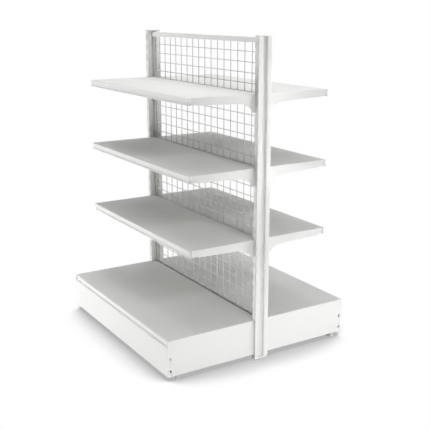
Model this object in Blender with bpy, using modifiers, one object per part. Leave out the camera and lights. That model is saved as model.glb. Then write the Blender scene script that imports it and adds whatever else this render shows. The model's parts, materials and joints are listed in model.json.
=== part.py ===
"""Double-sided gondola shelving bay.

Two slotted uprights carry a wire-mesh spine, three hung shelf levels on each side and a closed base.
X runs along the bay, Y across it (side a towards -Y, side b towards +Y) and Z up from the floor.
"""

import math

import bmesh
import bpy
from mathutils import Matrix, Vector

MM = 0.001
GAP = 0.3 * MM
WELD = 0.001 * MM
OVERCUT = 5 * MM

# Whole bay
POST_SPAN = 940 * MM
HEIGHT = 1350 * MM
BASE_REACH = 446 * MM
SHELF_REACH = 333 * MM
DECK_TOP = 173 * MM
FOOT_HEIGHT = 20 * MM

# Rails between the uprights
RAIL_SIZE = 20 * MM
RAIL_WALL = 1.5 * MM
RAIL_SLIT = 9.6 * MM
TOP_RAIL_DROP = 19 * MM
BOTTOM_RAIL_CENTRE = 118 * MM
RAIL_END_ROOM = 0.2 * MM

# Uprights
POST_WIDTH = 24 * MM
POST_DEPTH = 66 * MM
POST_WALL = 1.8 * MM
POST_BEND = 2.5 * MM
GROOVE_SIDE_ROOM = 1.5 * MM
SLOT_PITCH = 50 * MM
SLOT_HEIGHT = 22 * MM
SLOT_WIDTH = 3.2 * MM
SLOT_OFFSET = 8 * MM
FIRST_SLOT = 55 * MM
SLOT_TOP_MARGIN = 20 * MM
CAP_THICKNESS = 2.5 * MM
PLUG_THICKNESS = 3 * MM
STUB_DEPTH = 12 * MM
WAIST_END_ROOM = 0.5 * MM

# Wire mesh
ROD_RADIUS = 3 * MM
ROD_BEND = 10 * MM
ROD_GROOVE_ROOM = 2 * MM
ROD_RAIL_ROOM = 0.5 * MM
WIRE_RADIUS = 1.9 * MM
WIRE_PITCH_X = 52.5 * MM
WIRE_PITCH_Z = 42.4 * MM

# Shelves, counted in slots above the first one
SHELF_SLOTS = (9, 15, 21)
SHEET = 1.2 * MM
SHELF_END_INSET = 5.3 * MM
SHELF_LIP = 28 * MM
SHELF_NOSE = 3 * MM
SHELF_RETURN = 22 * MM
RETURN_TRIM = 8 * MM
CORNER_ROOM = 5 * MM
SHELF_END_FLANGE = 26 * MM
FLANGE_REAR_ROOM = 2 * MM
SHELF_REAR_FLANGE = 15 * MM
SHELF_SPINE_ROOM = 6.5 * MM
NOTCH_ROOM = 2 * MM
NOTCH_SIDE_ROOM = 1 * MM
HAT_WIDTH = 60 * MM
HAT_DEPTH = 12 * MM
HAT_END_INSET = 32 * MM

# Brackets
BRACKET_PLATE = 2.4 * MM
BRACKET_FLANGE = 14 * MM
BRACKET_FLANGE_FRONT = 12 * MM
BRACKET_FLANGE_REAR = 20 * MM
BRACKET_ARM = 35 * MM
BRACKET_TIP = 28 * MM
BRACKET_TIP_SETBACK = 27 * MM
BRACKET_TIP_RUN = 6 * MM
BRACKET_TIP_RISE = 8 * MM
BRACKET_ROOT = 74 * MM
BRACKET_ROOT_FLAT = 8 * MM
BRACKET_ARC = 84.5 * MM
BRACKET_ARC_REACH = 79 * MM
BRACKET_ARC_BITE = 1.5 * MM
HOOK_BELOW_TOP = 18 * MM
HOOK_NECK = 10 * MM
HOOK_DROP = 9.5 * MM
HOOK_THICKNESS = 4 * MM
HOOK_LEAD = 2 * MM
HOOK_LAP = 0.8 * MM
HOOK_WALL_ROOM = 0.4 * MM

# Ticket rails
TICKET_DEPTH = 4.7 * MM
TICKET_WALL = 1.2 * MM
TICKET_GRIP = 4 * MM
TICKET_TOP_DROP = 1 * MM
TICKET_OVERHANG = 1 * MM
TICKET_END_ROOM = 3 * MM

# Base
LEG_SHEET = 1.8 * MM
LEG_FACE_INSET = 8.7 * MM
LEG_TOP_FLANGE = 25 * MM
LEG_FOOT_FLANGE = 45 * MM
LEG_REAR_FLANGE = 40 * MM
LEG_FLANGE_FRONT = 28 * MM
LEG_CORNER = 10 * MM
DECK_LIP = 27 * MM
DECK_LIP_INSET = 4.8 * MM
DECK_RETURN = 14 * MM
DECK_RIB = 22 * MM
DECK_RIB_FRONT = 30 * MM
DECK_RIB_REAR = 20 * MM
DECK_RIB_ROOM = 0.8 * MM
DECK_HAT_ROOM = 8 * MM
DECK_HAT_SHARES = (0.36, 0.68)
DECK_SPINE_ROOM = 7 * MM
KICK_TOP_ROOM = 2 * MM
KICK_END_RETURN = 26 * MM
KICK_FOOT_RETURN = 10 * MM
KICK_TOP_RETURN = 12 * MM
KICK_RETURN_LOW = 5 * MM
KICK_RETURN_HIGH = 4 * MM
KICK_FLANGE_ROOM = 5 * MM
KICK_TAB_REACH = 1.08 * MM
KICK_TAB_ROOM = 1 * MM
KICK_TAB_HEADROOM = 12 * MM
LEG_SLOT_WIDTH = 8 * MM
LEG_SLOT_HEIGHT = 22 * MM
LEG_SLOT_INSET = 12 * MM
LEG_SLOT_LEVELS = (38 * MM, 90 * MM)

# Levelling feet
FOOT_INSET = 46 * MM
FOOT_SIDE_INSET = 18 * MM
PAD_RADIUS = 15 * MM
PAD_NECK = 9 * MM
PAD_FLOOR = 4 * MM
PAD_EDGE = 3 * MM
PAD_NECK_HEIGHT = 2 * MM
STUD_RADIUS = 5 * MM
STUD_HOLE_ROOM = 0.8 * MM
STUD_TOP = 58 * MM
COLLAR_HEIGHT = 7 * MM
HEX_ACROSS_FLATS = 17 * MM
NUT_HEIGHT = 8 * MM
ROUND_STEPS = 20

# Sizes that follow from those above
HALF_SPAN = POST_SPAN / 2
POST_FACE = POST_DEPTH / 2
POST_INNER = HALF_SPAN - POST_WIDTH / 2
POST_OUTER = HALF_SPAN + POST_WIDTH / 2
GROOVE_HALF = RAIL_SIZE / 2 + GROOVE_SIDE_ROOM
SLOT_COLUMN = HALF_SPAN - SLOT_OFFSET
TOP_RAIL_CENTRE = HEIGHT - TOP_RAIL_DROP
SHELF_END = HALF_SPAN - SHELF_END_INSET
NOTCH_REACH = POST_FACE + NOTCH_ROOM
NOTCH_END = POST_INNER - NOTCH_SIDE_ROOM
BRACKET_REAR = POST_FACE + GAP
HOOK_INSIDE = POST_FACE - POST_WALL - HOOK_WALL_ROOM
LEG_FACE = POST_OUTER - LEG_FACE_INSET
LEG_TOP = DECK_TOP - SHEET - GAP
DECK_FRONT = BASE_REACH - TICKET_DEPTH - GAP
DECK_LIP_END = LEG_FACE - DECK_LIP_INSET
KICK_END = LEG_FACE - LEG_SHEET - GAP
KICK_TOP = DECK_TOP - DECK_LIP - KICK_TOP_ROOM
FOOT_X = LEG_FACE - FOOT_SIDE_INSET
FOOT_Y = BASE_REACH - FOOT_INSET

AXIS_TURNS = {
    "X": Matrix(((0, 0, 1, 0), (1, 0, 0, 0), (0, 1, 0, 0), (0, 0, 0, 1))),
    "Z": Matrix.Identity(4),
}

for old in list(bpy.data.objects):
    bpy.data.objects.remove(old)

BAY = bpy.data.collections.new("gondola_shelving")
BENCH = bpy.data.collections.new("cutters")
for group in (BAY, BENCH):
    bpy.context.scene.collection.children.link(group)
BENCH.hide_render = True


def bench(data):
    """Helper object on the bench, out of the render."""
    helper = bpy.data.objects.new("helper", data)
    helper.hide_render = True
    helper.display_type = "WIRE"
    BENCH.objects.link(helper)
    return helper


def settled(helper):
    """Mesh of a helper after its modifiers; the helper itself is dropped."""
    bpy.context.view_layer.update()
    graph = bpy.context.evaluated_depsgraph_get()
    mesh = bpy.data.meshes.new_from_object(helper.evaluated_get(graph))
    bpy.data.objects.remove(helper)
    return mesh


def closed(bm):
    """Mesh of a bmesh, welded and facing out."""
    bmesh.ops.remove_doubles(bm, verts=bm.verts, dist=WELD)
    bmesh.ops.recalc_face_normals(bm, faces=bm.faces)
    mesh = bpy.data.meshes.new("solid")
    bm.to_mesh(mesh)
    bm.free()
    return mesh


def reworked(mesh, matrix):
    """The mesh welded, moved by a matrix and facing out."""
    bm = bmesh.new()
    bm.from_mesh(mesh)
    bmesh.ops.transform(bm, matrix=matrix, verts=bm.verts)
    return closed(bm)


def combined(mesh, tool, operation):
    """Exact Boolean of two closed meshes."""
    base = bench(mesh)
    cutter = bench(tool)
    modifier = base.modifiers.new("boolean", "BOOLEAN")
    modifier.operation = operation
    modifier.solver = "EXACT"
    modifier.object = cutter
    result = settled(base)
    bpy.data.objects.remove(cutter)
    return result


def joined(mesh, tool):
    """Union of two meshes that overlap."""
    return combined(mesh, tool, "UNION")


def cut(mesh, tool):
    """The mesh with the tool taken out of it."""
    return combined(mesh, tool, "DIFFERENCE")


def boxes(*spans):
    """Upright boxes, each between two opposite corners."""
    bm = bmesh.new()
    for low, high in spans:
        low = Vector(low)
        high = Vector(high)
        size = Matrix.Diagonal((*(high - low), 1))
        bmesh.ops.create_cube(bm, size=1, matrix=Matrix.Translation((low + high) / 2) @ size)
    return closed(bm)


def bar(start, end, radius, sides):
    """Straight round or hexagonal bar between two points."""
    start = Vector(start)
    end = Vector(end)
    along = end - start
    turn = along.to_track_quat("Z", "Y").to_matrix().to_4x4()
    place = Matrix.Translation((start + end) / 2) @ turn
    bm = bmesh.new()
    bmesh.ops.create_cone(bm, cap_ends=True, segments=sides, radius1=radius, radius2=radius,
                          depth=along.length, matrix=place)
    return closed(bm)


def gathered(meshes):
    """Several separate solids in one mesh."""
    bm = bmesh.new()
    for mesh in meshes:
        bm.from_mesh(mesh)
    return closed(bm)


def arc(centre, radius, start, end, steps):
    """Points of a circular arc, angles in degrees."""
    angles = [math.radians(start + (end - start) * i / steps) for i in range(steps + 1)]
    return [(centre[0] + radius * math.cos(a), centre[1] + radius * math.sin(a)) for a in angles]


def rounded_box(left, low, right, high, radius, steps=2):
    """Rectangle outline with round corners."""
    corners = ((right, low, -90, -1, 1), (right, high, 0, -1, -1),
               (left, high, 90, 1, -1), (left, low, 180, 1, 1))
    points = []
    for u, v, start, du, dv in corners:
        points += arc((u + du * radius, v + dv * radius), radius, start, start + 90, steps)
    return points


def prism(outline, low, high, axis):
    """Filled outline carried along an axis."""
    curve = bpy.data.curves.new("section", "CURVE")
    curve.dimensions = "2D"
    curve.fill_mode = "BOTH"
    curve.extrude = (high - low) / 2
    spline = curve.splines.new("POLY")
    spline.points.add(len(outline) - 1)
    for point, (u, v) in zip(spline.points, outline):
        point.co = (u, v, 0, 1)
    spline.use_cyclic_u = True
    bm = bmesh.new()
    bm.from_mesh(settled(bench(curve)))
    bmesh.ops.remove_doubles(bm, verts=bm.verts, dist=WELD)
    bmesh.ops.dissolve_limit(bm, angle_limit=math.radians(1), verts=bm.verts, edges=bm.edges)
    shift = Matrix.Translation((0, 0, (low + high) / 2))
    bmesh.ops.transform(bm, matrix=AXIS_TURNS[axis] @ shift, verts=bm.verts)
    return closed(bm)


def turned(profile, steps):
    """Profile of (radius, height) points turned round the Z axis."""
    bm = bmesh.new()
    points = [bm.verts.new((radius, 0, height)) for radius, height in profile]
    for first, second in zip(points, points[1:]):
        bm.edges.new((first, second))
    mesh = bpy.data.meshes.new("profile")
    bm.to_mesh(mesh)
    bm.free()
    lathe = bench(mesh)
    screw = lathe.modifiers.new("lathe", "SCREW")
    screw.steps = steps
    screw.render_steps = steps
    screw.use_merge_vertices = True
    screw.merge_threshold = 0.01 * MM
    return reworked(settled(lathe), Matrix.Identity(4))


def folded(blank, folds, sheet, bend=0.0):
    """Sheet-metal piece: a flat blank with flanges drawn out of its edges.

    Each fold is (first corner of the edge, steps, rounded). A step is (move, trim at both ends).
    """
    bm = bmesh.new()
    corners = [bm.verts.new(point) for point in blank]
    bm.faces.new(corners)
    weight = bm.edges.layers.float.new("bevel_weight_edge")
    noses = []
    for start, steps, rounded in folds:
        edge = bm.edges.get((corners[start], corners[start + 1]))
        if rounded:
            noses.append(edge)
        for move, trim in steps:
            made = bmesh.ops.extrude_edge_only(bm, edges=[edge])["geom"]
            fresh = {item for item in made if isinstance(item, bmesh.types.BMVert)}
            drawn = [item for item in made if isinstance(item, bmesh.types.BMEdge)]
            edge = next(item for item in drawn if set(item.verts) == fresh)
            first, second = edge.verts
            inwards = (second.co - first.co).normalized() * trim
            first.co += Vector(move) + inwards
            second.co += Vector(move) - inwards
    for edge in noses:
        edge[weight] = 1.0
    bm.normal_update()
    mesh = bpy.data.meshes.new("sheet")
    bm.to_mesh(mesh)
    bm.free()
    piece = bench(mesh)
    if bend:
        nose = piece.modifiers.new("nose", "BEVEL")
        nose.limit_method = "WEIGHT"
        nose.width = bend
        nose.segments = 3
    thick = piece.modifiers.new("sheet", "SOLIDIFY")
    thick.solidify_mode = "NON_MANIFOLD"
    thick.nonmanifold_thickness_mode = "CONSTRAINTS"
    thick.nonmanifold_merge_threshold = WELD
    thick.thickness = sheet
    thick.offset = -1
    return reworked(settled(piece), Matrix.Identity(4))


def mirrored(mesh):
    """Opposite hand of a piece."""
    return reworked(mesh, Matrix.Diagonal((-1, 1, 1, 1)))


def hat(centre, top, half_length):
    """Stiffener trough under a panel, running along X."""
    left = centre - HAT_WIDTH / 2
    right = centre + HAT_WIDTH / 2
    root = top - SHEET / 2
    foot = top - SHEET - HAT_DEPTH
    outline = [(left, root), (left, foot), (right, foot), (right, root), (right - SHEET, root),
               (right - SHEET, foot + SHEET), (left + SHEET, foot + SHEET), (left + SHEET, root)]
    return prism(outline, -half_length, half_length, "X")


def post_void(side):
    """Low and high corners of the hollow of one lobe, in plan."""
    across = POST_WIDTH / 2 - POST_WALL
    near = GROOVE_HALF + POST_WALL
    far = POST_FACE - POST_WALL
    low, high = sorted((side * near, side * far))
    return -across, low, across, high


def upright():
    """Slotted upright about its own centre line."""
    foot = PLUG_THICKNESS + GAP
    head = HEIGHT - CAP_THICKNESS - GAP
    half = POST_WIDTH / 2
    lobes = []
    voids = []
    for side in (-1, 1):
        left, low, right, high = post_void(side)
        voids.append(((left, low, foot - MM), (right, high, head + MM)))
        outline = rounded_box(-half, low - POST_WALL, half, high + POST_WALL, POST_BEND)
        lobes.append(prism(outline, foot, head, "Z"))
    hollow = cut(gathered(lobes), boxes(*voids))
    reach = GROOVE_HALF + POST_WALL / 2
    waist = boxes(((-POST_WALL, -reach, foot + WAIST_END_ROOM),
                   (POST_WALL, reach, head - WAIST_END_ROOM)))
    tube = joined(hollow, waist)
    count = int((HEIGHT - SLOT_TOP_MARGIN - FIRST_SLOT - SLOT_HEIGHT) / SLOT_PITCH) + 1
    cutters = []
    for step in range(count):
        low = FIRST_SLOT + step * SLOT_PITCH
        for side in (-1, 1):
            near, far = sorted((side * (POST_FACE - POST_WALL - MM), side * (POST_FACE + MM)))
            for column in (-SLOT_OFFSET, SLOT_OFFSET):
                cutters.append(((column - SLOT_WIDTH / 2, near, low),
                                (column + SLOT_WIDTH / 2, far, low + SLOT_HEIGHT)))
    window = RAIL_SIZE / 2 + GAP
    for centre in (TOP_RAIL_CENTRE, BOTTOM_RAIL_CENTRE):
        cutters.append(((-POST_WALL - MM, -window, centre - window),
                        (POST_WALL + MM, window, centre + window)))
    return cut(tube, boxes(*cutters))


def post_closure(plate_low, plate_high, stub_low, stub_high):
    """Cap or plug: a plate over the upright's end with a stub in each lobe."""
    outline = rounded_box(-POST_WIDTH / 2, -POST_FACE, POST_WIDTH / 2, POST_FACE, POST_BEND)
    plate = prism(outline, plate_low, plate_high, "Z")
    stubs = []
    for side in (-1, 1):
        left, low, right, high = post_void(side)
        stubs.append(((left + GAP, low + GAP, stub_low), (right - GAP, high - GAP, stub_high)))
    return joined(plate, boxes(*stubs))


def rail(centre, slit_side):
    """Lipped channel with closed ends; the slit takes the mesh."""
    half = RAIL_SIZE / 2
    inner = half - RAIL_WALL
    slit = RAIL_SLIT / 2
    section = [(-half, -half), (half, -half), (half, half), (slit, half), (slit, inner),
               (inner, inner), (inner, -inner), (-inner, -inner), (-inner, inner),
               (-slit, inner), (-slit, half), (-half, half)]
    outline = [(u, centre + slit_side * v) for u, v in section]
    end = HALF_SPAN + POST_WALL / 2
    channel = prism(outline, -end, end, "X")
    plate = half - RAIL_END_ROOM
    ends = []
    for side in (-1, 1):
        near, far = sorted((side * (end - GAP), side * (end - GAP - RAIL_WALL)))
        ends.append(((near, -plate, centre - plate), (far, plate, centre + plate)))
    return joined(channel, boxes(*ends))


def mesh_panel():
    """Welded mesh: a bent edge rod with crossing wires fused into it."""
    side = POST_INNER + ROD_RADIUS + ROD_GROOVE_ROOM
    low = BOTTOM_RAIL_CENTRE - RAIL_SIZE / 2 + RAIL_WALL + GAP + ROD_RADIUS
    high = TOP_RAIL_CENTRE - RAIL_SIZE / 2 + RAIL_WALL + ROD_RADIUS + ROD_RAIL_ROOM
    curve = bpy.data.curves.new("edge_rod", "CURVE")
    curve.dimensions = "3D"
    curve.bevel_depth = ROD_RADIUS
    curve.bevel_resolution = 2
    path = rounded_box(-side, low, side, high, ROD_BEND, 3)
    spline = curve.splines.new("POLY")
    spline.points.add(len(path) - 1)
    for point, (u, v) in zip(spline.points, path):
        point.co = (u, 0, v, 1)
    spline.use_cyclic_u = True
    rod = reworked(settled(bench(curve)), Matrix.Identity(4))
    offset = WIRE_RADIUS + GAP / 2
    wires = []
    column = WIRE_PITCH_X / 2
    while column < side - ROD_BEND:
        for across in (-column, column):
            wires.append(bar((across, -offset, low), (across, -offset, high), WIRE_RADIUS, 6))
        column += WIRE_PITCH_X
    row = high - WIRE_PITCH_Z
    while row > low + ROD_BEND:
        wires.append(bar((-side, offset, row), (side, offset, row), WIRE_RADIUS, 6))
        row -= WIRE_PITCH_Z
    return joined(rod, gathered(wires))


def panel_blank(end, front, rear, breaks):
    """Corners of a panel with notches round the uprights, from its front left corner, seen from above.

    The breaks are the ends of the end flanges, from the front.
    """
    right = [(end, -front), *[(end, -reach) for reach in breaks], (end, -NOTCH_REACH),
             (NOTCH_END, -NOTCH_REACH), (NOTCH_END, -rear)]
    return [(-end, -front), *right, *[(-u, v) for u, v in reversed(right[1:])]]


def shelf_panel():
    """Hung shelf of side a, its top face at zero height."""
    flange_front = SHELF_REACH - CORNER_ROOM
    flange_rear = NOTCH_REACH + FLANGE_REAR_ROOM
    plan = panel_blank(SHELF_END, SHELF_REACH, SHELF_SPINE_ROOM, (flange_front, flange_rear))
    blank = [(u, v, 0) for u, v in plan]
    folds = [(0, [((0, 0, -SHELF_LIP), 0), ((0, SHELF_RETURN, 0), RETURN_TRIM)], True),
             (2, [((0, 0, -SHELF_END_FLANGE), 0)], False),
             (6, [((0, 0, -SHELF_REAR_FLANGE), 0)], False),
             (10, [((0, 0, -SHELF_END_FLANGE), 0)], False)]
    pan = folded(blank, folds, SHEET, SHELF_NOSE)
    middle = -(SHELF_REACH + SHELF_SPINE_ROOM) / 2
    return joined(pan, hat(middle, 0, SHELF_END - HAT_END_INSET))


def ticket_rail(front, top, bottom, half_length):
    """C section for price tickets, clipped on a front lip."""
    back = -front - GAP
    face = back - TICKET_DEPTH
    wall = TICKET_WALL
    outline = [(back, top), (back, bottom), (face, bottom), (face, bottom + TICKET_GRIP),
               (face + wall, bottom + TICKET_GRIP), (face + wall, bottom + wall),
               (back - wall, bottom + wall), (back - wall, top - wall), (face + wall, top - wall),
               (face + wall, top - TICKET_GRIP), (face, top - TICKET_GRIP), (face, top)]
    return prism(outline, -half_length, half_length, "X")


def hook(neck_low, root):
    """Outline of one hook from the plate's rear edge: neck through the wall, finger behind it."""
    finger = HOOK_INSIDE - HOOK_THICKNESS
    return [(-root, neck_low), (-HOOK_INSIDE, neck_low), (-HOOK_INSIDE, neck_low - HOOK_DROP),
            (-finger - MM, neck_low - HOOK_DROP), (-finger, neck_low - HOOK_DROP + HOOK_LEAD),
            (-finger, neck_low + HOOK_NECK), (-root, neck_low + HOOK_NECK)]


def shelf_bracket():
    """Cantilever bracket for the right end of side a, shelf top at zero height."""
    outer = SLOT_COLUMN + BRACKET_PLATE / 2
    top = -SHEET - GAP
    tip = SHELF_REACH - BRACKET_TIP_SETBACK
    arc_start = POST_FACE + BRACKET_ARC_REACH
    centre = (-arc_start, top - BRACKET_ARM + BRACKET_ARC_BITE - BRACKET_ARC)
    sweep = arc(centre, BRACKET_ARC, 90, 38, 6)
    neck = -HOOK_BELOW_TOP + GAP
    outline = [(-tip, top - BRACKET_TIP + BRACKET_TIP_RISE), (-tip + BRACKET_TIP_RUN, top - BRACKET_TIP),
               *sweep,
               (-BRACKET_REAR - BRACKET_ROOT_FLAT, -BRACKET_ROOT), (-BRACKET_REAR, -BRACKET_ROOT),
               *hook(neck - SLOT_PITCH, BRACKET_REAR), *hook(neck, BRACKET_REAR), (-BRACKET_REAR, top)]
    flange_edge = len(outline)
    outline += [(-BRACKET_REAR - BRACKET_FLANGE_REAR, top), (-tip + BRACKET_FLANGE_FRONT, top),
                (-tip, top)]
    blank = [(outer, u, v) for u, v in outline]
    return folded(blank, [(flange_edge, [((-BRACKET_FLANGE, 0, 0), 0)], False)], BRACKET_PLATE)


def base_leg():
    """Base leg for the right end of side a, with its hooks and foot hole."""
    front = BASE_REACH
    rear = BRACKET_REAR
    low = FOOT_HEIGHT
    fold_front = -front + LEG_FLANGE_FRONT
    fold_rear = -rear - LEG_CORNER
    outline = [(-front, low), (fold_front, low), (fold_rear, low), (-rear, low), (-rear, low + LEG_CORNER),
               (-rear, LEG_TOP - LEG_CORNER), (-rear, LEG_TOP), (fold_rear, LEG_TOP),
               (fold_front, LEG_TOP), (-front, LEG_TOP)]
    blank = [(LEG_FACE, u, v) for u, v in outline]
    folds = [(1, [((-LEG_FOOT_FLANGE, 0, 0), 0)], False),
             (4, [((-LEG_REAR_FLANGE, 0, 0), 0)], False),
             (7, [((-LEG_TOP_FLANGE, 0, 0), 0)], False)]
    leg = folded(blank, folds, LEG_SHEET)
    for step in (0, 1):
        neck = FIRST_SLOT + step * SLOT_PITCH + GAP
        plate = hook(neck, rear + LEG_SHEET + HOOK_LAP)
        leg = joined(leg, prism(plate, SLOT_COLUMN - BRACKET_PLATE / 2, SLOT_COLUMN + BRACKET_PLATE / 2, "X"))
    slots = []
    middle = -BASE_REACH + LEG_SLOT_INSET
    for level in LEG_SLOT_LEVELS:
        slots.append(((LEG_FACE - OVERCUT, middle - LEG_SLOT_WIDTH / 2, level - LEG_SLOT_HEIGHT / 2),
                      (LEG_FACE + OVERCUT, middle + LEG_SLOT_WIDTH / 2, level + LEG_SLOT_HEIGHT / 2)))
    leg = cut(leg, boxes(*slots))
    under = (FOOT_X, -FOOT_Y, low - OVERCUT)
    over = (FOOT_X, -FOOT_Y, low + LEG_SHEET + OVERCUT)
    return cut(leg, bar(under, over, STUD_RADIUS + STUD_HOLE_ROOM, ROUND_STEPS))


def deck_panel():
    """Base deck of side a, lying on the legs."""
    corner = DECK_FRONT - CORNER_ROOM
    right = [(DECK_LIP_END, -DECK_FRONT), (DECK_LIP_END, -corner), (LEG_FACE, -corner),
             (LEG_FACE, -NOTCH_REACH), (NOTCH_END, -NOTCH_REACH), (NOTCH_END, -DECK_SPINE_ROOM)]
    plan = [*right, *[(-u, v) for u, v in reversed(right)]]
    plan = [plan[-1], *plan[:-1]]
    blank = [(u, v, DECK_TOP) for u, v in plan]
    folds = [(0, [((0, 0, -DECK_LIP), 0), ((0, DECK_RETURN, 0), RETURN_TRIM)], True),
             (6, [((0, 0, -DECK_RIB), 0)], False)]
    pan = folded(blank, folds, SHEET, SHELF_NOSE)
    rib = LEG_FACE - LEG_TOP_FLANGE - DECK_RIB_ROOM
    root = DECK_TOP - SHEET / 2
    ribs = []
    for side in (-1, 1):
        near, far = sorted((side * rib, side * (rib - SHEET)))
        ribs.append(((near, -DECK_FRONT + DECK_RIB_FRONT, DECK_TOP - DECK_RIB),
                     (far, -NOTCH_REACH - DECK_RIB_REAR, root)))
    pan = joined(pan, boxes(*ribs))
    for share in DECK_HAT_SHARES:
        pan = joined(pan, hat(-DECK_FRONT * share, DECK_TOP, rib - DECK_HAT_ROOM))
    return pan


def kick_plate():
    """Front closing plate of side a, with tabs for the legs' slots and a window over each tab."""
    low = FOOT_HEIGHT
    end = KICK_END
    inner = end - LEG_FOOT_FLANGE - KICK_FLANGE_ROOM
    right = [(inner, low), (end, low), (end, low + KICK_RETURN_LOW), (end, KICK_TOP - KICK_RETURN_HIGH),
             (end, KICK_TOP), (inner, KICK_TOP)]
    plan = [*right, *[(-u, v) for u, v in reversed(right)]]
    blank = [(u, -BASE_REACH, v) for u, v in plan]
    blank = [blank[-1], *blank[:-1]]
    folds = [(0, [((0, KICK_FOOT_RETURN, 0), 0)], False),
             (3, [((0, KICK_END_RETURN, 0), 0)], False),
             (6, [((0, KICK_TOP_RETURN, 0), 0)], False),
             (9, [((0, KICK_END_RETURN, 0), 0)], False)]
    plate = folded(blank, folds, SHEET)
    middle = -BASE_REACH + LEG_SLOT_INSET
    half = LEG_SLOT_WIDTH / 2
    tabs = []
    windows = []
    for side in (-1, 1):
        near, far = sorted((side * (end - SHEET / 2), side * (end + KICK_TAB_REACH)))
        inner_cut, outer_cut = sorted((side * (end - SHEET - OVERCUT), side * (end + OVERCUT)))
        for level in LEG_SLOT_LEVELS:
            slot_low = level - LEG_SLOT_HEIGHT / 2
            slot_high = level + LEG_SLOT_HEIGHT / 2
            tab_high = slot_high - KICK_TAB_HEADROOM
            tabs.append(((near, middle - half + KICK_TAB_ROOM, slot_low + GAP),
                         (far, middle + half - KICK_TAB_ROOM, tab_high)))
            windows.append(((inner_cut, middle - half, tab_high + KICK_TAB_ROOM),
                            (outer_cut, middle + half, slot_high)))
    return joined(cut(plate, boxes(*windows)), boxes(*tabs))


def foot_pad():
    """Floor pad of a levelling foot, socketed for the stud's end."""
    shoulder = FOOT_HEIGHT - COLLAR_HEIGHT - 2 * GAP
    socket = STUD_RADIUS + GAP
    profile = [(0, PAD_FLOOR), (socket, PAD_FLOOR), (socket, shoulder), (PAD_NECK, shoulder),
               (PAD_NECK, shoulder - PAD_NECK_HEIGHT), (PAD_RADIUS, PAD_EDGE), (PAD_RADIUS, 0), (0, 0)]
    return turned(profile, ROUND_STEPS)


def foot_stud():
    """Threaded stud with the hexagon collar that a spanner turns."""
    collar_top = FOOT_HEIGHT - GAP
    stem = bar((0, 0, PAD_FLOOR + GAP), (0, 0, STUD_TOP), STUD_RADIUS, ROUND_STEPS)
    across_corners = HEX_ACROSS_FLATS / math.sqrt(3)
    collar = bar((0, 0, collar_top - COLLAR_HEIGHT), (0, 0, collar_top), across_corners, 6)
    return joined(stem, collar)


def foot_nut():
    """Hexagon nut welded over the foot hole inside the leg."""
    low = FOOT_HEIGHT + LEG_SHEET + GAP
    body = bar((0, 0, low), (0, 0, low + NUT_HEIGHT), HEX_ACROSS_FLATS / math.sqrt(3), 6)
    bore = bar((0, 0, low - MM), (0, 0, low + NUT_HEIGHT + MM), STUD_RADIUS + GAP, ROUND_STEPS)
    return cut(body, bore)


def finish(name, colour, metallic, roughness):
    """Principled material."""
    material = bpy.data.materials.new(name)
    material.use_nodes = True
    shader = material.node_tree.nodes["Principled BSDF"]
    shader.inputs["Base Color"].default_value = (*colour, 1)
    shader.inputs["Metallic"].default_value = metallic
    shader.inputs["Roughness"].default_value = roughness
    return material


def dressed(mesh, material):
    """The mesh with its material, smooth across bends only."""
    mesh.materials.clear()
    mesh.materials.append(material)
    mesh.shade_smooth()
    mesh.set_sharp_from_angle(angle=math.radians(35))
    return mesh


def pivot(name, location, side_turn=0.0, parent=None):
    """Empty on a joint axis."""
    empty = bpy.data.objects.new(name, None)
    empty.empty_display_size = 30 * MM
    empty.location = location
    empty.rotation_euler = (0, 0, side_turn)
    empty.parent = parent
    BAY.objects.link(empty)
    return empty


def place(name, mesh, location=(0, 0, 0), side_turn=0.0, parent=None):
    """Piece of the bay at its place."""
    piece = bpy.data.objects.new(name, mesh)
    piece.location = location
    piece.rotation_euler = (0, 0, side_turn)
    piece.parent = parent
    BAY.objects.link(piece)
    return piece


def build_spine(paint, wire_coat, plastic):
    """Uprights, caps, plugs, rails and mesh."""
    post = dressed(upright(), paint)
    head = HEIGHT - CAP_THICKNESS
    cap = dressed(post_closure(head, HEIGHT, head - STUB_DEPTH, head + MM), plastic)
    foot = PLUG_THICKNESS
    plug = dressed(post_closure(0, foot, foot - MM, foot + STUB_DEPTH), plastic)
    for hand, across in (("left", -HALF_SPAN), ("right", HALF_SPAN)):
        place(f"upright_{hand}", post, (across, 0, 0))
        place(f"upright_cap_{hand}", cap, (across, 0, 0))
        place(f"upright_plug_{hand}", plug, (across, 0, 0))
    place("top_rail", dressed(rail(TOP_RAIL_CENTRE, -1), paint))
    place("bottom_rail", dressed(rail(BOTTOM_RAIL_CENTRE, 1), paint))
    place("wire_mesh_panel", dressed(mesh_panel(), wire_coat))


def build_shelves(paint, ticket_plastic):
    """Hung shelves, each on a pivot at its top face."""
    panel = dressed(shelf_panel(), paint)
    strip = ticket_rail(SHELF_REACH, -TICKET_TOP_DROP, -SHELF_LIP - TICKET_OVERHANG,
                        SHELF_END - TICKET_END_ROOM)
    ticket = dressed(strip, ticket_plastic)
    right_bracket = dressed(shelf_bracket(), paint)
    left_bracket = dressed(mirrored(right_bracket), paint)
    for side, turn in (("a", 0.0), ("b", math.pi)):
        hands = ("left", "right") if side == "a" else ("right", "left")
        for level, slot in enumerate(SHELF_SLOTS, start=1):
            top = FIRST_SLOT + slot * SLOT_PITCH + HOOK_BELOW_TOP
            axis = pivot(f"pivot_shelf_{side}{level}", (0, 0, top), turn)
            place(f"shelf_{side}{level}", panel, parent=axis)
            place(f"ticket_rail_{side}{level}", ticket, parent=axis)
            place(f"bracket_{side}{level}_{hands[0]}", left_bracket, parent=axis)
            place(f"bracket_{side}{level}_{hands[1]}", right_bracket, parent=axis)


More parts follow.
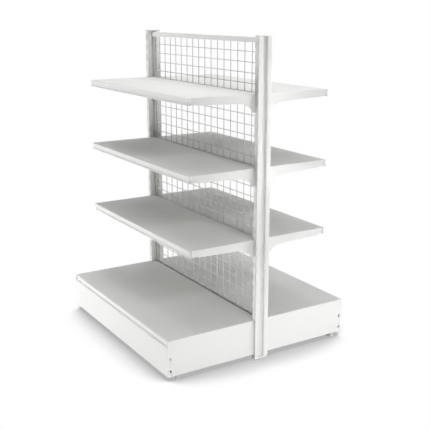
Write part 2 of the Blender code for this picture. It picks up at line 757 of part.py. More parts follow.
def build_base(paint, ticket_plastic):
    """Legs, kick plates and decks."""
    deck = dressed(deck_panel(), paint)
    strip = ticket_rail(DECK_FRONT, DECK_TOP - TICKET_TOP_DROP, DECK_TOP - DECK_LIP, DECK_LIP_END)
    ticket = dressed(strip, ticket_plastic)
    right_leg = dressed(base_leg(), paint)
    left_leg = dressed(mirrored(right_leg), paint)
    kick = dressed(kick_plate(), paint)
    for side, turn in (("a", 0.0), ("b", math.pi)):
        hands = ("left", "right") if side == "a" else ("right", "left")
        axis = pivot(f"pivot_deck_{side}", (0, 0, 0), turn)
        place(f"deck_{side}", deck, parent=axis)
        place(f"deck_ticket_rail_{side}", ticket, parent=axis)
        place(f"leg_{side}_{hands[0]}", left_leg, side_turn=turn)
        place(f"leg_{side}_{hands[1]}", right_leg, side_turn=turn)
        place(f"kick_plate_{side}", kick, side_turn=turn)


def build_feet(zinc, foot_plastic):
    """Levelling feet, each stud and pad on a pivot on the screw's axis."""
    pad = dressed(foot_pad(), foot_plastic)
    stud = dressed(foot_stud(), zinc)
    nut = dressed(foot_nut(), zinc)
    for side, along in (("a", -FOOT_Y), ("b", FOOT_Y)):
        for hand, across in (("left", -FOOT_X), ("right", FOOT_X)):
            axis = pivot(f"pivot_foot_{side}_{hand}", (across, along, 0))
            place(f"foot_pad_{side}_{hand}", pad, parent=axis)
            place(f"foot_stud_{side}_{hand}", stud, parent=axis)
            place(f"foot_nut_{side}_{hand}", nut, (across, along, 0))


def main():
    paint = finish("white_paint", (0.86, 0.86, 0.85), 0.0, 0.35)
    wire_coat = finish("white_wire_coat", (0.82, 0.82, 0.81), 0.0, 0.4)
    ticket_plastic = finish("ticket_plastic", (0.88, 0.88, 0.87), 0.0, 0.3)
    plastic = finish("white_plastic", (0.84, 0.84, 0.83), 0.0, 0.5)
    zinc = finish("zinc_steel", (0.62, 0.63, 0.65), 1.0, 0.35)
    foot_plastic = finish("foot_plastic", (0.64, 0.64, 0.62), 0.0, 0.5)
    build_spine(paint, wire_coat, plastic)
    build_shelves(paint, ticket_plastic)
    build_base(paint, ticket_plastic)
    build_feet(zinc, foot_plastic)


main()
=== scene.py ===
"""Looks of a white double-sided gondola shelving bay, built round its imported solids.

Lengths are in metres. X runs along the bay, Y across it (side a towards -Y, side b towards +Y) and
Z up.
"""

import json
import logging
import math
from dataclasses import dataclass
from enum import Enum
from typing import Any, Iterator

import bmesh
import bpy
from mathutils import Matrix, Vector


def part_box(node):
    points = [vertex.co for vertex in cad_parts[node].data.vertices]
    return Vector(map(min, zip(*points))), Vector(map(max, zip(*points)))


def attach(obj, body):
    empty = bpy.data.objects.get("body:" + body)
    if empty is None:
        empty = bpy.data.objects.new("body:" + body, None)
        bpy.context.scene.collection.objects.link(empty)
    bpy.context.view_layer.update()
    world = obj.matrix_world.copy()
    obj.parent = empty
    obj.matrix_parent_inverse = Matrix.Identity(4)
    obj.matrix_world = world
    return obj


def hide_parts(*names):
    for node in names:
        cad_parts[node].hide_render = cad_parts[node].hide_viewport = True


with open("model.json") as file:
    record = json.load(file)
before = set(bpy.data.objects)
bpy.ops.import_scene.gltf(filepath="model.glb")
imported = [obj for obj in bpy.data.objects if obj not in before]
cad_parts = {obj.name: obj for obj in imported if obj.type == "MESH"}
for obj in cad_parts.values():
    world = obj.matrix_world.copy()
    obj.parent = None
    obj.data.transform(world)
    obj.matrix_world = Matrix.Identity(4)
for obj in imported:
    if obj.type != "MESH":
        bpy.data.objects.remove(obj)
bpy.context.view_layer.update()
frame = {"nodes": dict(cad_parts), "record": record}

MM = 0.001
# Points nearer to each other than this are joined.
WELD = 0.005 * MM
LEVELS = (1, 2, 3)
HEX_SIDES = 6
# Angles of an edge from which it is shaded sharp, rounded on a pad or chamfered on a stud.
SHARP_ANGLE = math.radians(38)
PAD_ANGLE = math.radians(25)
RIM_ANGLE = math.radians(60)
# A bevel of this profile is part of a circle; this material is that of the faces beside it.
ROUND_PROFILE = 0.5
OWN_MATERIAL = -1
# Places of the sockets on a Mix node that mixes colours.
MIX_FACTOR, MIX_FIRST, MIX_SECOND, MIX_RESULT = 0, 6, 7, 2
LOG = logging.getLogger("gondola")


class Slot(Enum):
    """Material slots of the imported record."""

    PAINT = "white_paint"
    WIRE_COAT = "wire_coat"
    TICKET = "ticket_plastic"
    PLASTIC = "white_plastic"
    ZINC = "zinc_steel"
    FOOT = "foot_plastic"


class Side(Enum):
    """The two shopping sides of the bay."""

    A = "a"
    B = "b"


class Hand(Enum):
    """The two ends of the bay."""

    LEFT = "left"
    RIGHT = "right"


def linear(code: str) -> tuple[float, float, float, float]:
    """Turns an sRGB hex colour to a linear one.

    Args:
        code: Colour such as "#F1F1EF".

    Returns:
        Red, green, blue and alpha for a colour socket.
    """
    shares = [int(code[place:place + 2], 16) / 255 for place in (1, 3, 5)]
    # The numbers are those of the sRGB standard's curve.
    red, green, blue = (s / 12.92 if s <= 0.04045 else ((s + 0.055) / 1.055) ** 2.4 for s in shares)
    return red, green, blue, 1.0


def add_node(tree: bpy.types.NodeTree, kind: str, inputs: dict[str | int, Any] | None = None,
             **settings: Any) -> bpy.types.Node:
    """Adds a node with its settings and links.

    Args:
        tree: Node tree that gets the node.
        kind: Type name of the node.
        inputs: Value or linked socket for each input, by its name or place.
        settings: The node's own properties.

    Returns:
        The new node.
    """
    node = tree.nodes.new(kind)
    for name, value in settings.items():
        setattr(node, name, value)
    for name, value in (inputs or {}).items():
        if isinstance(value, bpy.types.NodeSocket):
            tree.links.new(value, node.inputs[name])
        else:
            node.inputs[name].default_value = value
    return node


@dataclass(frozen=True)
class Finish:
    """What a surface is made of and how it was made.

    Attributes:
        name: Common name of the material and its making.
        slot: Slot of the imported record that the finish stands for.
        colour: Main sRGB colour.
        drift: sRGB colour that the main one drifts to in slow patches.
        drift_mm: Width of those patches.
        gloss: Roughness of the glossiest and of the dullest patches.
        gloss_mm: Width of the glossier and duller patches.
        grain_mm: Width of one bump of the surface along X, Y and Z.
        relief_mm: Height of the bumps.
        metallic: 1 for bare metal.
        ior: Index of refraction, or None where the shader's own is kept.
        drift_detail: Octaves of finer pattern in the colour's patches.
        gloss_detail: Octaves of finer pattern in the gloss's patches.
        grain_detail: Octaves of finer pattern in the bumps.
        gloss_span: Noise values at which a patch is glossiest and dullest.
    """

    name: str
    slot: Slot
    colour: str
    drift: str
    drift_mm: float
    gloss: tuple[float, float]
    gloss_mm: float
    grain_mm: tuple[float, float, float]
    relief_mm: float
    metallic: float = 0.0
    ior: float | None = None
    drift_detail: float = 2.0
    gloss_detail: float = 3.0
    grain_detail: float = 1.0
    gloss_span: tuple[float, float] = (0.3, 0.7)

    def noise(self, tree: bpy.types.NodeTree, widths_mm: tuple[float, float, float],
              detail: float) -> bpy.types.NodeSocket:
        """Adds a noise pattern whose patches have a real size.

        Args:
            tree: Node tree of the material.
            widths_mm: Width of one patch along X, Y and Z.
            detail: Octaves of finer pattern on top.

        Returns:
            The noise value's socket.
        """
        place = add_node(tree, "ShaderNodeTexCoord").outputs["Object"]
        scale = [1 / (width * MM) for width in widths_mm]
        mapped = add_node(tree, "ShaderNodeMapping", {"Vector": place, "Scale": scale})
        pattern = add_node(tree, "ShaderNodeTexNoise",
                           {"Vector": mapped.outputs["Vector"], "Scale": 1.0, "Detail": detail})
        return pattern.outputs[0]

    def material(self) -> bpy.types.Material:
        """Builds the material.

        Returns:
            The finished material.
        """
        made = bpy.data.materials.new(self.name)
        made.use_nodes = True
        tree = made.node_tree
        shader = tree.nodes["Principled BSDF"]
        shader.inputs["Metallic"].default_value = self.metallic
        if self.ior is not None:
            shader.inputs["IOR"].default_value = self.ior
        patches = self.noise(tree, (self.drift_mm,) * 3, self.drift_detail)
        tint = add_node(tree, "ShaderNodeMix",
                        {MIX_FACTOR: patches, MIX_FIRST: linear(self.colour),
                         MIX_SECOND: linear(self.drift)}, data_type="RGBA")
        tree.links.new(tint.outputs[MIX_RESULT], shader.inputs["Base Color"])
        sheen = self.noise(tree, (self.gloss_mm,) * 3, self.gloss_detail)
        dulled = add_node(tree, "ShaderNodeMapRange",
                          {"Value": sheen,
                           "From Min": self.gloss_span[0], "From Max": self.gloss_span[1],
                           "To Min": self.gloss[0], "To Max": self.gloss[1]})
        tree.links.new(dulled.outputs["Result"], shader.inputs["Roughness"])
        grain = self.noise(tree, self.grain_mm, self.grain_detail)
        bump = add_node(tree, "ShaderNodeBump",
                        {"Height": grain, "Strength": 1.0, "Distance": self.relief_mm * MM})
        tree.links.new(bump.outputs["Normal"], shader.inputs["Normal"])
        return made


# Polyester powder, sprayed on folded sheet and baked: an even dull white with a faint orange peel.
# The real peel is about 1.5 mm wide and is drawn at 7 mm, so that it shows at this picture's scale.
POWDER_COAT = Finish("polyester_powder_coat", Slot.PAINT, "#EBEBE9", "#E6E6E4", 240,
                     (0.6, 0.7), 60, (7, 7, 7), 0.012, ior=1.4)
# A white powder on drawn wire, its colour greyed below the paint's white: painted shade, standing
# for the shade that the wires sit in between the shelves. The powder flows thicker there, so it is
# a little glossier and hides the marks of the drawing.
WIRE_COAT = Finish("powder_coat_on_wire_greyed_as_painted_shade", Slot.WIRE_COAT, "#DADAD8", "#D4D4D2", 120,
                   (0.42, 0.5), 30, (4, 4, 4), 0.01, ior=1.45)
# Rigid PVC pushed through a die: a satin white, a little cleaner than the paint, with faint lines
# along it. Real die lines are about 0.2 mm apart and are drawn at 1.2 mm, so that they show.
EXTRUDED_PVC = Finish("rigid_pvc_extruded", Slot.TICKET, "#EFEFED", "#EAEAE8", 300,
                      (0.45, 0.55), 80, (260, 1.2, 1.2), 0.006, ior=1.5)
# Moulded polypropylene: a warm white with the fine dull grain of a spark-eroded mould.
# The real grain is about 0.1 mm wide and is drawn at 0.8 mm, so that it shows.
MOULDED_PP = Finish("polypropylene_moulded", Slot.PLASTIC, "#EEEDEA", "#E9E8E5", 40,
                    (0.45, 0.55), 12, (0.8, 0.8, 0.8), 0.02, ior=1.49)
# Bright zinc plate on turned steel: a cool grey mirror broken by faint clouds of passivation.
ZINC_PLATE = Finish("bright_zinc_plated_steel", Slot.ZINC, "#C9CCD1", "#BEC0C0", 9,
                    (0.22, 0.36), 5, (1.2, 1.2, 0.4), 0.004, metallic=1.0)
# Moulded polyethylene: pale grey, waxy and slightly dull, so scuffs from the floor stay faint.
MOULDED_PE = Finish("polyethylene_moulded", Slot.FOOT, "#D4D4D1", "#C6C6C2", 14,
                    (0.42, 0.56), 6, (1.0, 1.0, 1.0), 0.015, ior=1.52)
FINISHES = (POWDER_COAT, WIRE_COAT, EXTRUDED_PVC, MOULDED_PP, ZINC_PLATE, MOULDED_PE)


class Wardrobe:
    """Keeps one material for each slot and dresses pieces with it."""

    def __init__(self) -> None:
        """Builds every finish once."""
        self.materials = {finish.slot: finish.material() for finish in FINISHES}
        self.slots = {part["node"]: Slot(part["material_slot"])
                      for part in frame["record"]["subparts"]}

    def dress(self, piece: bpy.types.Object, slot: Slot) -> None:
        """Gives a piece the material of a slot, and nothing else."""
        piece.data.materials.clear()
        piece.data.materials.append(self.materials[slot])

    def dress_node(self, name: str) -> None:
        """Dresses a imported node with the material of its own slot.

        Args:
            name: Name of the node.
        """
        self.dress(frame["nodes"][name], self.slots[name])
        LOG.info("dressed %s as %s", name, self.slots[name].value)


def finished(bm: bmesh.types.BMesh, name: str, slot: Slot, wardrobe: Wardrobe, body: str,
             node: str) -> None:
    """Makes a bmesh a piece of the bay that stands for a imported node.

    Args:
        bm: Shape in its place; it is freed.
        name: Name of the piece.
        slot: Slot that the piece takes its finish from.
        wardrobe: Materials by slot.
        body: Body that the piece rides on.
        node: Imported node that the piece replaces.
    """
    bmesh.ops.remove_doubles(bm, verts=bm.verts, dist=WELD)
    bmesh.ops.recalc_face_normals(bm, faces=bm.faces)
    mesh = bpy.data.meshes.new(name)
    bm.to_mesh(mesh)
    bm.free()
    mesh.shade_smooth()
    mesh.set_sharp_from_angle(angle=SHARP_ANGLE)
    piece = bpy.data.objects.new(name, mesh)
    bpy.context.scene.collection.objects.link(piece)
    wardrobe.dress(piece, slot)
    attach(piece, body)
    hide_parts(node)
    LOG.info("built %s with %d faces", name, len(mesh.polygons))


def bevel(bm: bmesh.types.BMesh, edges: list[bmesh.types.BMEdge], width: float, steps: int) -> None:
    """Rounds or chamfers edges.

    Args:
        bm: Mesh that holds the edges.
        edges: Edges to take off.
        width: How far the bevel reaches from each edge.
        steps: Faces across the bevel; 1 makes a chamfer.
    """
    bmesh.ops.bevel(bm, geom=edges, offset=width, offset_type="OFFSET", affect="EDGES",
                    segments=steps, profile=ROUND_PROFILE, material=OWN_MATERIAL,
                    clamp_overlap=True)


class Uprights:
    """The two slotted posts with their caps and plugs, and the rails between them."""

    def dress(self, wardrobe: Wardrobe) -> None:
        """Dresses the posts, caps, plugs and rails.

        Args:
            wardrobe: Materials by slot.
        """
        for hand in Hand:
            for part in ("upright", "upright_cap", "upright_plug"):
                wardrobe.dress_node(f"{part}_{hand.value}")
        for name in ("top_rail", "bottom_rail"):
            wardrobe.dress_node(name)


@dataclass
class MeshSpine:
    """The welded wire mesh between the uprights.

    Attributes:
        rod_radius: Radius of the edge rod.
        rod_bend: Radius of the rod's corners.
        rod_sides: Sides of the rod's section.
        bend_steps: Steps of each corner.
        wire_radius: Radius of the crossing wires.
        wire_sides: Sides of a wire's section.
        pitch_x: Spacing of the upright wires.
        pitch_z: Spacing of the level wires.
        set_down: How deep the wires are pressed into each other where they are welded.
        nugget: Half sizes of the metal squeezed out at a weld.
    """

    rod_radius: float = 3.0 * MM
    rod_bend: float = 10.0 * MM
    rod_sides: int = 16
    bend_steps: int = 8
    wire_radius: float = 1.9 * MM
    wire_sides: int = 12
    pitch_x: float = 52.5 * MM
    pitch_z: float = 42.4 * MM
    set_down: float = 0.5 * MM
    nugget: tuple[float, float, float] = (2.2 * MM, 1.0 * MM, 2.2 * MM)

    def __post_init__(self) -> None:
        """Takes the panel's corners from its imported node."""
        low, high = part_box("wire_mesh_panel")
        self.side = high.x - self.rod_radius
        self.low = low.z + self.rod_radius
        self.high = high.z - self.rod_radius

    def columns(self) -> Iterator[float]:
        """Steps outwards from the middle, one pair of upright wires at a time.

        Yields:
            Place along X of each upright wire.
        """
        across = self.pitch_x / 2
        while across < self.side - self.rod_bend:
            yield from (-across, across)
            across += self.pitch_x

    def rows(self) -> Iterator[float]:
        """Steps down from the top.

        Yields:
            Height of each level wire.
        """
        height = self.high - self.pitch_z
        while height > self.low + self.rod_bend:
            yield height
            height -= self.pitch_z

    def add_rod(self, bm: bmesh.types.BMesh) -> None:
        """Bends the edge rod: a circle drawn along each run and spun round each corner.

        Args:
            bm: Mesh that gets the rod.
        """
        run_x = 2 * (self.side - self.rod_bend)
        run_z = self.high - self.low - 2 * self.rod_bend
        left, right = -self.side + self.rod_bend, self.side - self.rod_bend
        below, above = self.low + self.rod_bend, self.high - self.rod_bend
        start = Matrix.Translation((left, 0, self.low)) @ Matrix.Rotation(math.pi / 2, 4, "Y")
        ring = bmesh.ops.create_circle(bm, segments=self.rod_sides, radius=self.rod_radius,
                                       matrix=start)
        edges = list({edge for vert in ring["verts"] for edge in vert.link_edges})
        centres = ((right, 0, below), (right, 0, above), (left, 0, above), (left, 0, below))
        moves = ((run_x, 0, 0), (0, 0, run_z), (-run_x, 0, 0), (0, 0, -run_z))
        for centre, move in zip(centres, moves):
            drawn = bmesh.ops.extrude_edge_only(bm, edges=edges)["geom"]
            fresh = [item for item in drawn if isinstance(item, bmesh.types.BMVert)]
            bmesh.ops.translate(bm, verts=fresh, vec=move)
            edges = [item for item in drawn if isinstance(item, bmesh.types.BMEdge)
                     and all(vert in fresh for vert in item.verts)]
            turned = bmesh.ops.spin(bm, geom=edges, cent=centre, axis=(0, -1, 0), angle=math.pi / 2,
                                    steps=self.bend_steps)["geom_last"]
            edges = [item for item in turned if isinstance(item, bmesh.types.BMEdge)]

    def add_wire(self, bm: bmesh.types.BMesh, start: Vector, end: Vector) -> None:
        """Adds one straight wire whose ends are buried in the rod.

        Args:
            bm: Mesh that gets the wire.
            start: One end of its centre line.
            end: The other end.
        """
        along = end - start
        turn = along.to_track_quat("Z", "Y").to_matrix().to_4x4()
        bmesh.ops.create_cone(bm, cap_ends=True, segments=self.wire_sides, radius1=self.wire_radius,
                              radius2=self.wire_radius, depth=along.length,
                              matrix=Matrix.Translation((start + end) / 2) @ turn)

    def build(self, wardrobe: Wardrobe) -> None:
        """Builds the rod, the wires and the weld at each crossing.

        Args:
            wardrobe: Materials by slot.
        """
        bm = bmesh.new()
        self.add_rod(bm)
        offset = self.wire_radius - self.set_down / 2
        columns = list(self.columns())
        rows = list(self.rows())
        for across in columns:
            self.add_wire(bm, Vector((across, -offset, self.low)),
                          Vector((across, -offset, self.high)))
        for height in rows:
            self.add_wire(bm, Vector((-self.side, offset, height)),
                          Vector((self.side, offset, height)))
        size = Matrix.Diagonal((*self.nugget, 1))
        for across in columns:
            for height in rows:
                bmesh.ops.create_icosphere(bm, subdivisions=1, radius=1.0,
                                           matrix=Matrix.Translation((across, 0, height)) @ size)
        finished(bm, "welded_mesh", Slot.WIRE_COAT, wardrobe, "frame", "wire_mesh_panel")


@dataclass
class ShelfUnit:
    """One hung shelf with its two brackets and its ticket rail.

    Attributes:
        side: Shopping side that it hangs on.
        level: Level from 1, the lowest.
    """

    side: Side
    level: int

    def dress(self, wardrobe: Wardrobe) -> None:
        """Dresses the panel, the ticket rail and the brackets.

        Args:
            wardrobe: Materials by slot.
        """
        place = f"{self.side.value}{self.level}"
        for part in ("shelf", "ticket_rail"):
            wardrobe.dress_node(f"{part}_{place}")
        for hand in Hand:
            wardrobe.dress_node(f"bracket_{place}_{hand.value}")


@dataclass
class BasePlinth:
    """The closed base of one side: deck, ticket rail, legs, kick plate and foot nuts.

    Attributes:
        side: Shopping side that it stands on.
    """

    side: Side

    def dress(self, wardrobe: Wardrobe) -> None:
        """Dresses the base's nodes.

        Args:
            wardrobe: Materials by slot.
        """
        for part in ("deck", "deck_ticket_rail", "kick_plate"):
            wardrobe.dress_node(f"{part}_{self.side.value}")
        for hand in Hand:
            for part in ("leg", "foot_nut"):
                wardrobe.dress_node(f"{part}_{self.side.value}_{hand.value}")


@dataclass
class LevellingFoot:
    """One levelling foot: a moulded pad and a threaded stud with a hexagon collar.

    Attributes:
        side: Shopping side that it stands under.
        hand: End of the bay that it stands under.
        stud_radius: Radius of the stud over its thread.
        pitch: Rise of the thread in one turn.
        thread_depth: Height of the thread's ridge.
        thread_root: How deep the ridge stands in the stem.
        thread_foot: Half the width of the ridge's foot, as a share of the pitch.
        thread_end: Turns left off below the stud's chamfer.
        turn_steps: Steps of one turn of the thread.
        round_steps: Steps of a full round.
        collar_low: Height of the collar's lower face.
        collar_high: Height of the collar's upper face.
        across_flats: Width of the hexagon.
        chamfer: Slope on the hexagon's faces and the stud's end.
        pad_edge: Height of the pad's round edge.
        pad_neck: Radius of the neck round the stud.
        pad_neck_wall: Height of the neck's upright wall.
        pad_socket: Radius of the socket that the stud stands in.
        pad_fillet: Rounding on the pad's edges.
        pad_fillet_steps: Faces across that rounding.
    """

    side: Side
    hand: Hand
    stud_radius: float = 5.0 * MM
    pitch: float = 1.5 * MM
    thread_depth: float = 0.9 * MM
    thread_root: float = 0.1 * MM
    thread_foot: float = 0.44
    thread_end: float = 0.5
    turn_steps: int = 16
    round_steps: int = 32
    collar_low: float = 12.7 * MM
    collar_high: float = 19.7 * MM
    across_flats: float = 17.0 * MM
    chamfer: float = 0.8 * MM
    pad_edge: float = 3.0 * MM
    pad_neck: float = 9.0 * MM
    pad_neck_wall: float = 2.0 * MM
    pad_socket: float = 5.3 * MM
    pad_fillet: float = 0.9 * MM
    pad_fillet_steps: int = 3

    def __post_init__(self) -> None:
        """Takes the foot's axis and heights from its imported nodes."""
        self.tag = f"{self.side.value}_{self.hand.value}"
        low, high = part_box(f"foot_stud_{self.tag}")
        self.axis = Vector(((low.x + high.x) / 2, (low.y + high.y) / 2, 0))
        self.stud_low = low.z
        self.stud_high = high.z
        low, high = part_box(f"foot_pad_{self.tag}")
        self.pad_radius = (high.x - low.x) / 2
        self.pad_high = high.z

    def build_pad(self, wardrobe: Wardrobe) -> None:
        """Turns the pad from its profile and rounds its edges.

        Args:
            wardrobe: Materials by slot.
        """
        profile = [(0, self.stud_low), (self.pad_socket, self.stud_low),
                   (self.pad_socket, self.pad_high), (self.pad_neck, self.pad_high),
                   (self.pad_neck, self.pad_high - self.pad_neck_wall),
                   (self.pad_radius, self.pad_edge), (self.pad_radius, 0), (0, 0)]
        bm = bmesh.new()
        points = [bm.verts.new((radius, 0, height)) for radius, height in profile]
        edges = [bm.edges.new(pair) for pair in zip(points, points[1:])]
        bmesh.ops.spin(bm, geom=points + edges, cent=(0, 0, 0), axis=(0, 0, 1), angle=2 * math.pi,
                       steps=self.round_steps, use_merge=True)
        bmesh.ops.remove_doubles(bm, verts=bm.verts, dist=WELD)
        bmesh.ops.recalc_face_normals(bm, faces=bm.faces)
        sharp = [edge for edge in bm.edges if edge.calc_face_angle(0) > PAD_ANGLE]
        bevel(bm, sharp, self.pad_fillet, self.pad_fillet_steps)
        bmesh.ops.translate(bm, verts=bm.verts, vec=self.axis)
        finished(bm, f"levelling_pad_{self.tag}", Slot.FOOT, wardrobe, f"foot_{self.tag}",
                 f"foot_pad_{self.tag}")

    def add_collar(self, bm: bmesh.types.BMesh) -> None:
        """Adds the hexagon collar, its two faces chamfered by an inset.

        Args:
            bm: Mesh that gets the collar.
        """
        middle = Matrix.Translation((0, 0, (self.collar_low + self.collar_high) / 2))
        corner = self.across_flats / math.sqrt(3)
        height = self.collar_high - self.collar_low - self.chamfer
        made = bmesh.ops.create_cone(bm, cap_ends=True, segments=HEX_SIDES, radius1=corner,
                                     radius2=corner, depth=height, matrix=middle)
        faces = {face for vert in made["verts"] for face in vert.link_faces}
        caps = [face for face in faces if len(face.verts) == HEX_SIDES]
        bmesh.ops.inset_individual(bm, faces=caps, thickness=self.chamfer, depth=self.chamfer / 2)

    def add_thread(self, bm: bmesh.types.BMesh) -> None:
        """Winds the thread: a three-cornered ridge spun up the stem.

        Args:
            bm: Mesh that gets the ridge.
        """
        root = self.stud_radius - self.thread_depth - self.thread_root
        half = self.pitch * self.thread_foot
        start = self.collar_high + self.pitch
        corners = ((root, 0, start - half), (self.stud_radius, 0, start), (root, 0, start + half))
        section = [bm.verts.new(point) for point in corners]
        loop = [bm.edges.new(pair) for pair in zip(section, section[1:] + section[:1])]
        turns = (self.stud_high - self.chamfer - start) / self.pitch - self.thread_end
        steps = int(turns * self.turn_steps)
        ends = bmesh.ops.spin(bm, geom=section + loop, cent=(0, 0, 0), axis=(0, 0, 1),
                              dvec=(0, 0, self.pitch / self.turn_steps),
                              angle=2 * math.pi * steps / self.turn_steps, steps=steps)["geom_last"]
        bm.faces.new(section)
        bm.faces.new([item for item in ends if isinstance(item, bmesh.types.BMVert)])

    def build_stud(self, wardrobe: Wardrobe) -> None:
        """Builds the stem with its chamfered end, the collar and the thread.

        Args:
            wardrobe: Materials by slot.
        """
        bm = bmesh.new()
        core = self.stud_radius - self.thread_depth
        centre = Matrix.Translation((0, 0, (self.stud_low + self.stud_high) / 2))
        made = bmesh.ops.create_cone(bm, cap_ends=True, segments=self.round_steps, radius1=core,
                                     radius2=core, depth=self.stud_high - self.stud_low,
                                     matrix=centre)
        rims = {edge for vert in made["verts"] for edge in vert.link_edges
                if edge.calc_face_angle(0) > RIM_ANGLE}
        bevel(bm, list(rims), self.chamfer, 1)
        self.add_collar(bm)
        self.add_thread(bm)
        bmesh.ops.translate(bm, verts=bm.verts, vec=self.axis)
        finished(bm, f"threaded_stud_{self.tag}", Slot.ZINC, wardrobe, f"stud_{self.tag}",
                 f"foot_stud_{self.tag}")

    def build(self, wardrobe: Wardrobe) -> None:
        """Builds the pad and the stud."""
        self.build_pad(wardrobe)
        self.build_stud(wardrobe)


@dataclass(frozen=True)
class Softbox:
    """A soft studio lamp.

    Attributes:
        name: Name of the lamp.
        place: Middle of its cloth.
        aim: Point that it faces.
        size: Width and height of the cloth.
        power: Power in watts.
        spread: Angle of its cone in degrees; a grid before the cloth makes it narrow.
    """

    name: str
    place: tuple[float, float, float]
    aim: tuple[float, float, float]
    size: tuple[float, float]
    power: float
    spread: float = 180.0

    def hang(self) -> None:
        """Hangs the lamp, out of the camera's sight."""
        lamp = bpy.data.lights.new(self.name, "AREA")
        lamp.shape = "RECTANGLE"
        lamp.size, lamp.size_y = self.size
        lamp.energy = self.power
        lamp.spread = math.radians(self.spread)
        holder = bpy.data.objects.new(self.name, lamp)
        holder.location = self.place
        facing = Vector(self.aim) - Vector(self.place)
        holder.rotation_euler = facing.to_track_quat("-Z", "Y").to_euler()
        holder.visible_camera = False
        bpy.context.scene.collection.objects.link(holder)


@dataclass
class Studio:
    """Floor, lamps, backdrop and camera round the bay.

    Attributes:
        floor_half: Half the floor's width.
        floor_colour: sRGB colour that the floor throws light back with.
        painted_shadow_reach: How far the soft shadow painted on the floor round the bay spreads.
        painted_shadow_open: Shares of open space round a point of the floor at which the painted
            shadow is deepest and at which it ends.
        painted_shadow_core: What is left of the floor's white in the deepest painted shadow.
        painted_shadow_samples: Rays that feel for the open space at each point.
        ceiling: Strength of the even light from above.
        ceiling_rise: Heights on a unit sphere between which that light rises to its full strength.
        lens: Focal length of the camera in millimetres.
        film: Width of the film in millimetres.
        view_turn: Turn of the camera round the bay, in degrees.
        view_drop: How far the camera looks down, in degrees.
        view_place: Where the camera stands.
        view_shift: Vertical shift of the lens, as a share of the picture.
        lamps: The softboxes.
    """

    floor_half: float = 30.0
    floor_colour: str = "#E8E8E8"
    painted_shadow_reach: float = 0.6
    painted_shadow_open: tuple[float, float] = (0.49, 0.735)
    painted_shadow_core: float = 0.45
    painted_shadow_samples: int = 32
    ceiling: float = 1.07
    ceiling_rise: tuple[float, float] = (0.7, 0.8)
    lens: float = 65.407
    film: float = 36.0
    view_turn: float = 58.1874
    view_drop: float = 12.9953
    view_place: tuple[float, float, float] = (3.0007, -1.7941, 1.4499)
    view_shift: float = -0.06
    # The corner softboxes light the long faces from low down, and from so far to the side that the
    # posts' grooves stay darker than their flanges. The strips lift the posts, the kick plates and
    # the ends of the base, and the end softbox reaches in between the shelves.
    lamps: tuple[Softbox, ...] = (
        Softbox("corner_softbox_a", (-1.8, -3.2, 0.45), (0.0, -0.3, 0.45), (1.2, 0.6), 60.0),
        Softbox("corner_softbox_b", (1.8, 3.2, 0.45), (0.0, 0.3, 0.45), (1.2, 0.6), 60.0),
        Softbox("post_strip_left", (-0.97, 0.495, 1.1), (-0.475, 0.0, 1.1), (0.14, 0.9), 0.26,
                40.0),
        Softbox("post_strip_right", (0.97, 0.495, 1.1), (0.475, 0.0, 1.1), (0.14, 0.9), 0.26,
                40.0),
        Softbox("kick_strip_a", (0.0, -0.95, 0.1), (0.0, -0.446, 0.09), (1.7, 0.14), 0.9),
        Softbox("kick_strip_b", (0.0, 0.95, 0.1), (0.0, 0.446, 0.09), (1.7, 0.14), 0.9),
        Softbox("end_strip_left", (-1.0, 0.0, 0.1), (-0.473, 0.0, 0.09), (1.6, 0.14), 2.0),
        Softbox("end_strip_right", (1.0, 0.0, 0.1), (0.473, 0.0, 0.09), (1.6, 0.14), 2.0),
        Softbox("end_softbox", (3.2, 0.0, 2.6), (0.475, 0.0, 0.85), (1.0, 0.5), 1.4, 34.0),
        Softbox("top_softbox", (0.0, 0.0, 2.7), (0.0, 0.0, 1.0), (1.4, 1.4), 13.5),
    )

    def backdrop_rays(self, tree: bpy.types.NodeTree) -> bpy.types.NodeSocket:
        """Adds the test for rays that show the backdrop, straight, mirrored or through glass.

        Args:
            tree: Node tree of the floor or the world.

        Returns:
            Socket that is 1 on such a ray and 0 on the others.
        """
        rays = add_node(tree, "ShaderNodeLightPath").outputs
        shown = rays["Is Camera Ray"]
        for kind in ("Is Glossy Ray", "Is Transmission Ray"):
            shown = add_node(tree, "ShaderNodeMath", {0: shown, 1: rays[kind]},
                             operation="MAXIMUM").outputs[0]
        return shown

    def floor_material(self) -> bpy.types.Material:
        """Builds the floor's matt white, a white backdrop to the camera with a soft shadow painted
        into it by ambient occlusion.

        Returns:
            The floor's material.
        """
        made = bpy.data.materials.new("matt_white_backdrop_paper")
        made.use_nodes = True
        tree = made.node_tree
        tree.nodes.clear()
        paper = add_node(tree, "ShaderNodeBsdfDiffuse", {"Color": linear(self.floor_colour)})
        # Painted shadow: ambient occlusion darkens the white that the floor shows the camera near
        # the bay, whatever the lamps do.
        shade = add_node(tree, "ShaderNodeAmbientOcclusion", {"Distance": self.painted_shadow_reach},
                         samples=self.painted_shadow_samples)
        white = add_node(tree, "ShaderNodeMapRange",
                         {"Value": shade.outputs["AO"], "From Min": self.painted_shadow_open[0],
                          "From Max": self.painted_shadow_open[1], "To Min": self.painted_shadow_core})
        backdrop = add_node(tree, "ShaderNodeEmission", {"Strength": white.outputs["Result"]})
        both = add_node(tree, "ShaderNodeMixShader",
                        {0: self.backdrop_rays(tree), 1: paper.outputs[0], 2: backdrop.outputs[0]})
        add_node(tree, "ShaderNodeOutputMaterial", {"Surface": both.outputs[0]})
        return made

    def lay_floor(self) -> None:
        """Lays the floor under the bay."""
        bm = bmesh.new()
        bmesh.ops.create_grid(bm, x_segments=1, y_segments=1, size=self.floor_half)
        mesh = bpy.data.meshes.new("floor")
        bm.to_mesh(mesh)
        bm.free()
        mesh.materials.append(self.floor_material())
        floor = bpy.data.objects.new("floor", mesh)
        bpy.context.scene.collection.objects.link(floor)

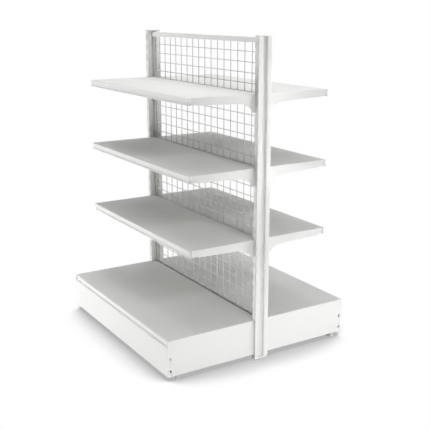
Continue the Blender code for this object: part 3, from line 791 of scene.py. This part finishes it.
    def light(self) -> None:
        """Hangs the softboxes and sets the world: even light from above, white to the camera."""
        for lamp in self.lamps:
            lamp.hang()
        world = bpy.data.worlds.new("studio")
        world.use_nodes = True
        bpy.context.scene.world = world
        tree = world.node_tree
        backdrop = tree.nodes["Background"]
        backdrop.inputs["Color"].default_value = linear("#FFFFFF")
        way = add_node(tree, "ShaderNodeTexCoord").outputs["Generated"]
        height = add_node(tree, "ShaderNodeSeparateXYZ", {"Vector": way}).outputs["Z"]
        above = add_node(tree, "ShaderNodeMapRange",
                         {"Value": height, "From Min": self.ceiling_rise[0],
                          "From Max": self.ceiling_rise[1], "To Max": self.ceiling})
        strength = add_node(tree, "ShaderNodeMath",
                            {0: above.outputs["Result"], 1: self.backdrop_rays(tree)},
                            operation="MAXIMUM")
        tree.links.new(strength.outputs[0], backdrop.inputs["Strength"])

    def set_camera(self) -> None:
        """Sets the camera at the photograph's viewpoint."""
        turn = math.radians(self.view_turn)
        drop = math.radians(self.view_drop)
        level = math.cos(drop)
        back = Vector((math.sin(turn) * level, -math.cos(turn) * level, math.sin(drop)))
        lens = bpy.data.cameras.new("viewpoint")
        lens.lens = self.lens
        lens.sensor_width = self.film
        lens.shift_y = self.view_shift
        camera = bpy.data.objects.new("viewpoint", lens)
        camera.location = self.view_place
        camera.rotation_euler = (-back).to_track_quat("-Z", "Y").to_euler()
        bpy.context.scene.collection.objects.link(camera)
        bpy.context.scene.camera = camera

    def build(self) -> None:
        """Builds the studio."""
        bpy.context.scene.view_settings.view_transform = "Standard"
        self.set_camera()
        self.lay_floor()
        self.light()


def main() -> None:
    """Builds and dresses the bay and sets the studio."""
    logging.basicConfig(level=logging.INFO, format="%(name)s: %(message)s")
    Studio().build()
    wardrobe = Wardrobe()
    Uprights().dress(wardrobe)
    MeshSpine().build(wardrobe)
    for side in Side:
        for level in LEVELS:
            ShelfUnit(side, level).dress(wardrobe)
        BasePlinth(side).dress(wardrobe)
        for hand in Hand:
            LevellingFoot(side, hand).build(wardrobe)


if __name__ == "__main__":
    main()
